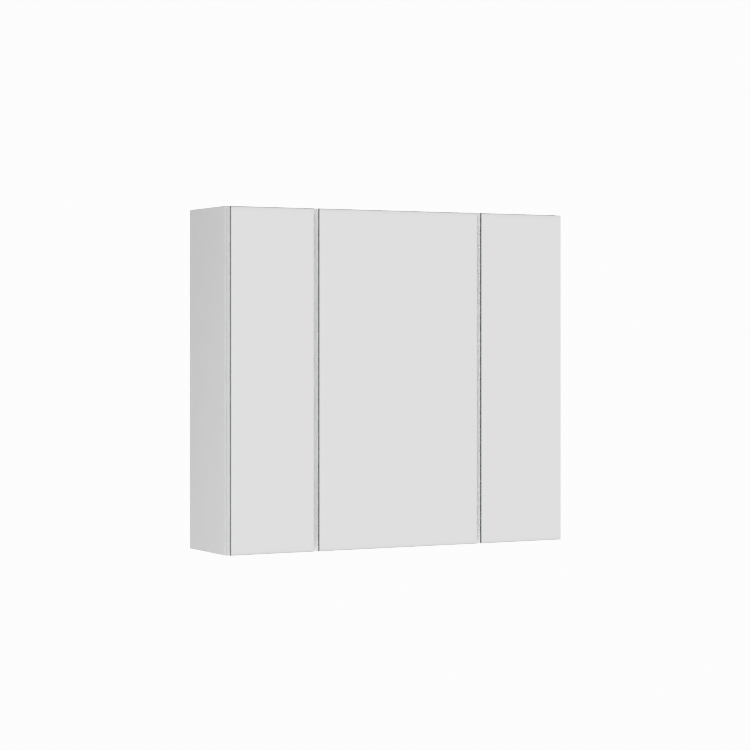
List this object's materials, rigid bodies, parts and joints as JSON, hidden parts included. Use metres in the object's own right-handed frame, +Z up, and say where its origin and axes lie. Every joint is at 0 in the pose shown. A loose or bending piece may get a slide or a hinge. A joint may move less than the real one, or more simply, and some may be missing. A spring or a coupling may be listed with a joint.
{
  "type": "mirror cabinet",
  "caption": "Wall-hung bathroom cabinet with frameless mirror doors of unequal width on concealed hinges, with glass shelves inside.",
  "frame": {"origin": "centre of the four wall screws, on the wall's surface", "axes": "+X to the right seen from the front, +Y into the wall, +Z up"},
  "size_m": [0.8, 0.21, 0.72],
  "materials": {
    "white_board": "white melamine-faced chipboard, fine pearl texture, satin",
    "back_board": "thin white-faced fibreboard, satin",
    "mirror_glass": "silvered float glass, polished edges with a green tint",
    "shelf_glass": "clear float glass with polished green edges",
    "foam_tape": "white foam mounting tape, matt",
    "bumper_clear": "clear soft plastic, glossy",
    "hinge_nickel": "nickel-plated pressed steel and zinc, satin",
    "screw_steel": "bright zinc-plated steel",
    "hook_steel": "zinc-plated steel strip",
    "plate_steel": "zinc-plated steel sheet",
    "cam_zinc": "die-cast zinc, dull",
    "shelf_pin_nickel": "nickel-plated steel",
    "hanger_plastic": "white moulded plastic, matt",
    "dowel_beech": "fluted beech, raw"
  },
  "bodies": {
    "cabinet": {"side_panel_left": "white_board", "side_panel_right": "white_board", "side_lipping_left": "white_board", "side_lipping_right": "white_board", "top_panel": "white_board", "bottom_panel": "white_board", "partition_left": "white_board", "partition_right": "white_board", "back_panel": "back_board", "dowels": "dowel_beech", "cam_locks": "cam_zinc", "cam_bolts": "screw_steel", "partition_screws": "screw_steel", "hanger_left": "hanger_plastic", "hanger_right": "hanger_plastic", "hanger_hook_left": "hook_steel", "hanger_hook_right": "hook_steel", "hanger_screws": "screw_steel", "wall_plate_left": "plate_steel", "wall_plate_right": "plate_steel", "shelf_left_lower": "shelf_glass", "shelf_left_upper": "shelf_glass", "shelf_centre_lower": "shelf_glass", "shelf_centre_upper": "shelf_glass", "shelf_right_lower": "shelf_glass", "shelf_right_upper": "shelf_glass", "shelf_pins_left": "shelf_pin_nickel", "shelf_pins_centre": "shelf_pin_nickel", "shelf_pins_right": "shelf_pin_nickel", "hinge_arms_left": "hinge_nickel", "hinge_plates_left": "hinge_nickel", "hinge_screws_left": "screw_steel", "hinge_arms_centre": "hinge_nickel", "hinge_plates_centre": "hinge_nickel", "hinge_screws_centre": "screw_steel", "hinge_arms_right": "hinge_nickel", "hinge_plates_right": "hinge_nickel", "hinge_screws_right": "screw_steel"},
    "door_left": {"door_board_left": "white_board", "mirror_left": "mirror_glass", "mirror_tape_left": "foam_tape", "bumpers_left": "bumper_clear", "hinge_cups_left": "hinge_nickel", "hinge_pins_left": "screw_steel", "cup_screws_left": "screw_steel"},
    "door_centre": {"door_board_centre": "white_board", "mirror_centre": "mirror_glass", "mirror_tape_centre": "foam_tape", "bumpers_centre": "bumper_clear", "hinge_cups_centre": "hinge_nickel", "hinge_pins_centre": "screw_steel", "cup_screws_centre": "screw_steel"},
    "door_right": {"door_board_right": "white_board", "mirror_right": "mirror_glass", "mirror_tape_right": "foam_tape", "bumpers_right": "bumper_clear", "hinge_cups_right": "hinge_nickel", "hinge_pins_right": "screw_steel", "cup_screws_right": "screw_steel"}
  },
  "joints": [
    {"name": "left_door_hinge", "type": "hinge", "parent": "cabinet", "child": "door_left", "pos_m": [-0.392, -0.1982, 0], "axis": [0, 0, -1], "range_deg": [0, 95]},
    {"name": "centre_door_hinge", "type": "hinge", "parent": "cabinet", "child": "door_centre", "pos_m": [-0.18995, -0.1982, 0], "axis": [0, 0, -1], "range_deg": [0, 95]},
    {"name": "right_door_hinge", "type": "hinge", "parent": "cabinet", "child": "door_right", "pos_m": [0.392, -0.1982, 0], "axis": [0, 0, 1], "range_deg": [0, 95]}
  ]
}
